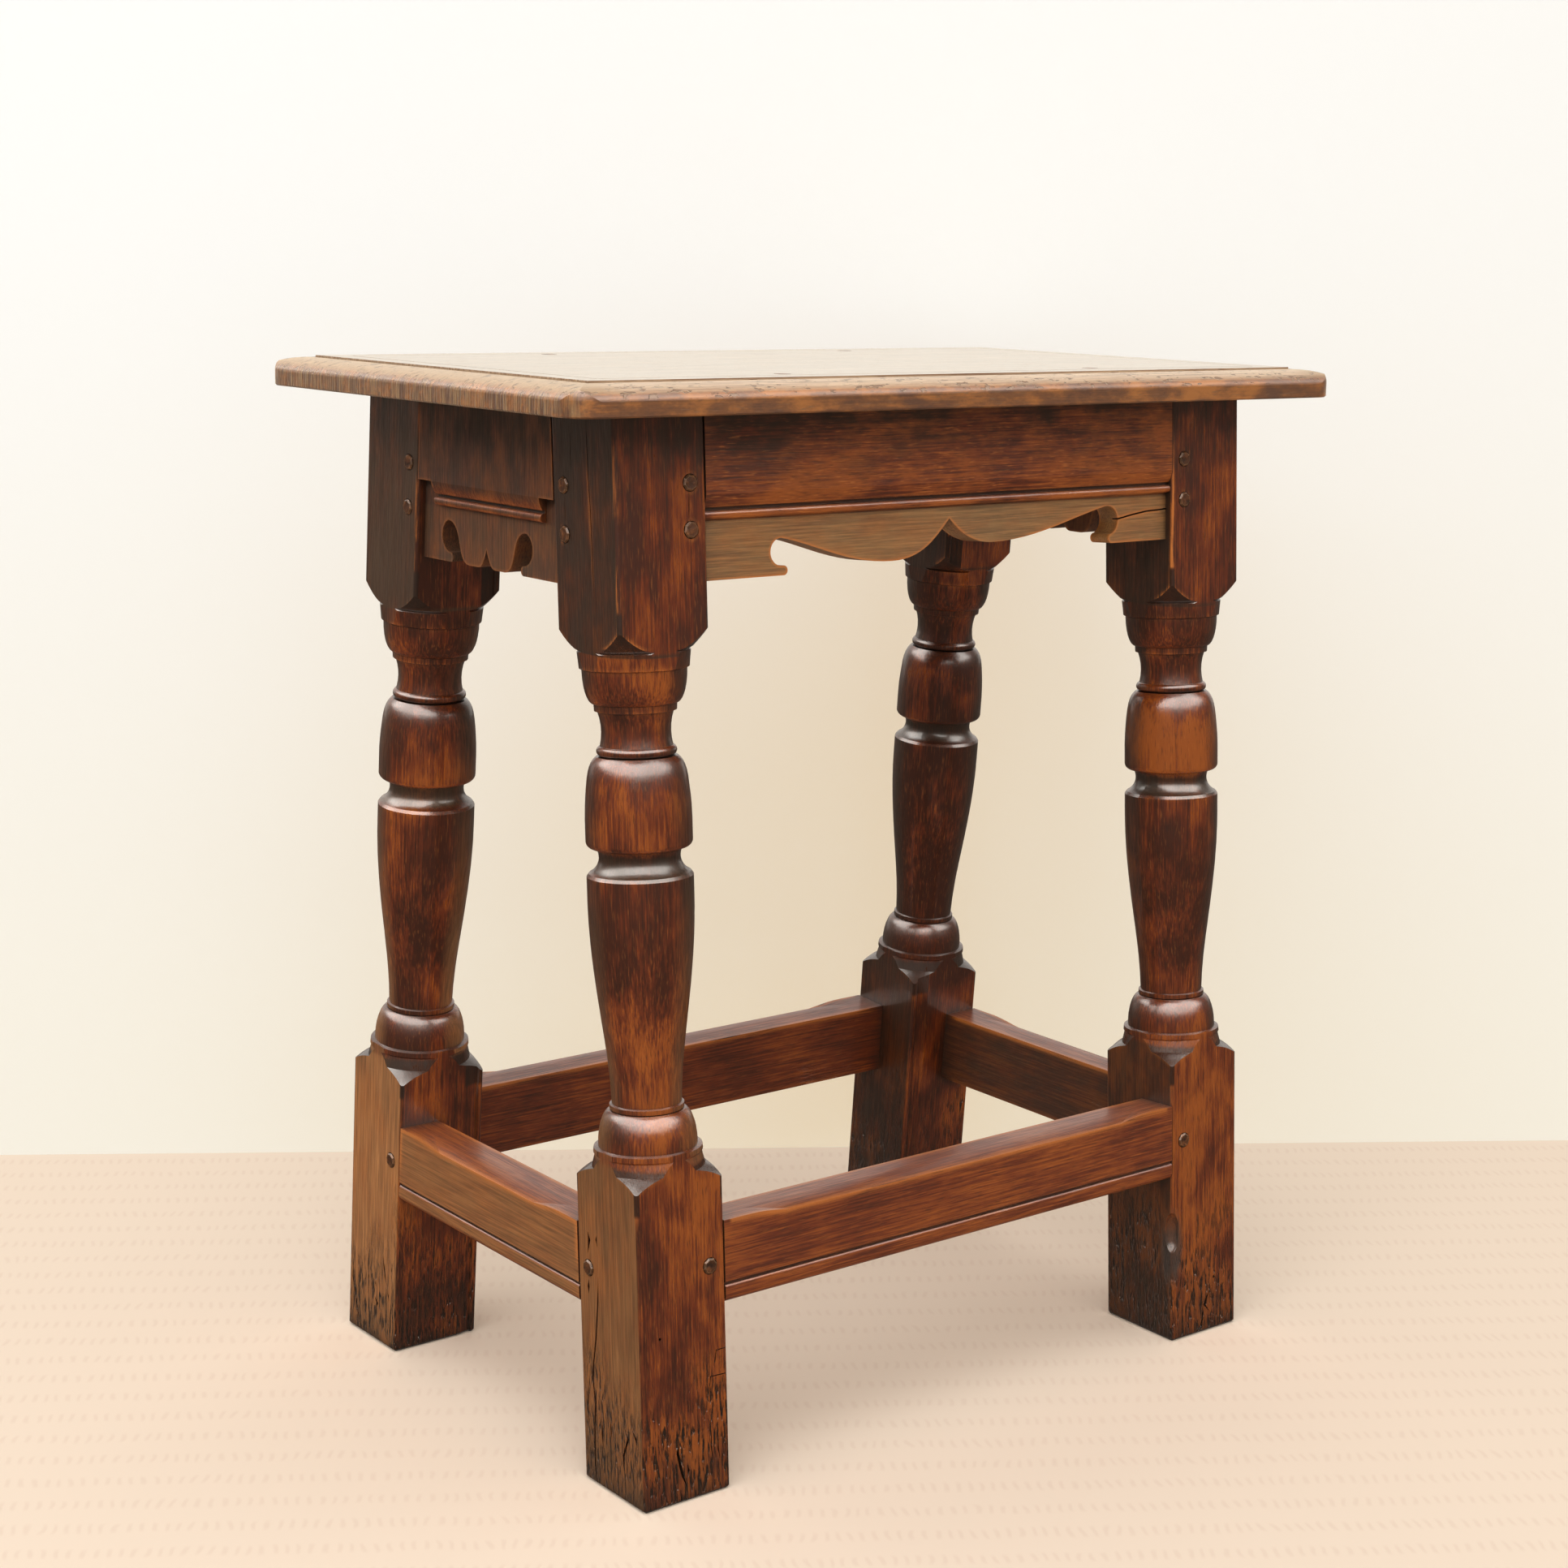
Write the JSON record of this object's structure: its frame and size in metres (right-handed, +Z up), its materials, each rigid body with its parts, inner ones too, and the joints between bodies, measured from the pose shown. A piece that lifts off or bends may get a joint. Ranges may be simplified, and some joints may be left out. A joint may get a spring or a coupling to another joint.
{
  "type": "joint stool",
  "caption": "Oak joint stool: a moulded board seat on baluster-turned legs that lean outwards, joined by shaped aprons and low stretchers with pegged mortise and tenon joints",
  "frame": {"origin": "on the floor, in the middle of the stool's overall box, under the middle of the seat", "axes": "+X runs along the long side of the seat, +Y from the front to the back across the seat, +Z up. The legs lean outwards in Y only"},
  "size_m": [0.511, 0.2986, 0.556],
  "materials": {
    "oak_seat": "worn wax polish",
    "oak_frame": "dark wax polish",
    "oak_pegs": "dark wax polish"
  },
  "bodies": {
    "root": {"back_apron": "oak_frame", "back_left_leg": "oak_frame", "back_left_long_apron_lower_peg": "oak_pegs", "back_left_long_apron_upper_peg": "oak_pegs", "back_left_long_stretcher_peg": "oak_pegs", "back_left_short_apron_lower_peg": "oak_pegs", "back_left_short_apron_upper_peg": "oak_pegs", "back_left_short_stretcher_peg": "oak_pegs", "back_right_leg": "oak_frame", "back_right_long_apron_lower_peg": "oak_pegs", "back_right_long_apron_upper_peg": "oak_pegs", "back_right_long_stretcher_peg": "oak_pegs", "back_right_short_apron_lower_peg": "oak_pegs", "back_right_short_apron_upper_peg": "oak_pegs", "back_right_short_stretcher_peg": "oak_pegs", "back_stretcher": "oak_frame", "front_apron": "oak_frame", "front_left_leg": "oak_frame", "front_left_long_apron_lower_peg": "oak_pegs", "front_left_long_apron_upper_peg": "oak_pegs", "front_left_long_stretcher_peg": "oak_pegs", "front_left_short_apron_lower_peg": "oak_pegs", "front_left_short_apron_upper_peg": "oak_pegs", "front_left_short_stretcher_peg": "oak_pegs", "front_right_leg": "oak_frame", "front_right_long_apron_lower_peg": "oak_pegs", "front_right_long_apron_upper_peg": "oak_pegs", "front_right_long_stretcher_peg": "oak_pegs", "front_right_short_apron_lower_peg": "oak_pegs", "front_right_short_apron_upper_peg": "oak_pegs", "front_right_short_stretcher_peg": "oak_pegs", "front_stretcher": "oak_frame", "left_apron": "oak_frame", "left_stretcher": "oak_frame", "right_apron": "oak_frame", "right_stretcher": "oak_frame", "seat_board": "oak_seat", "seat_peg_1": "oak_pegs", "seat_peg_2": "oak_pegs", "seat_peg_3": "oak_pegs", "seat_peg_4": "oak_pegs"}
  },
  "joints": []
}
